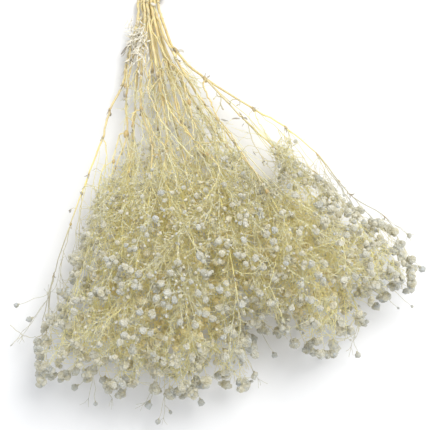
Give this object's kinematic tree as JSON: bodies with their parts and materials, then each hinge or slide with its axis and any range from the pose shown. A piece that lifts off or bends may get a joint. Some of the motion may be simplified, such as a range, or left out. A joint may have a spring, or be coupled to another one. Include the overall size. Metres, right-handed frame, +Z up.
{
  "type": "dried baby's breath bunch",
  "caption": "Bunch of cut, dried flowering sprays lying on its side: straw stems drawn together by a twine tie, fanning out into a domed cloud of papery florets on hair-thin stalks",
  "frame": {"origin": "middle of the underside of the bunch's bounding box, on the surface that it lies on", "axes": "+Y runs along the bunch from the heads to the cut ends, +X to the right seen from above with the cut ends away from the viewer, +Z up"},
  "size_m": [0.3076, 0.3874, 0.1232],
  "materials": {
    "straw": "dried straw-coloured stem, satin, with orange-brown joints",
    "floret": "papery cream-white dried petals, matt",
    "dried_leaf": "pale grey crumpled dried leaf, matt",
    "twine": "twisted natural fibre, matt and slightly hairy"
  },
  "bodies": {
    "root": {"spray_right_rim": "straw", "spray_right_high": "straw", "spray_right_middle": "straw", "spray_right_low": "straw", "spray_middle_right_high": "straw", "spray_middle_right_low": "straw", "spray_middle": "straw", "spray_middle_high": "straw", "spray_middle_low": "straw", "spray_left_high": "straw", "spray_left_middle": "straw", "spray_left_low": "straw", "spray_left_rim": "straw", "tie": "twine"}
  },
  "joints": []
}
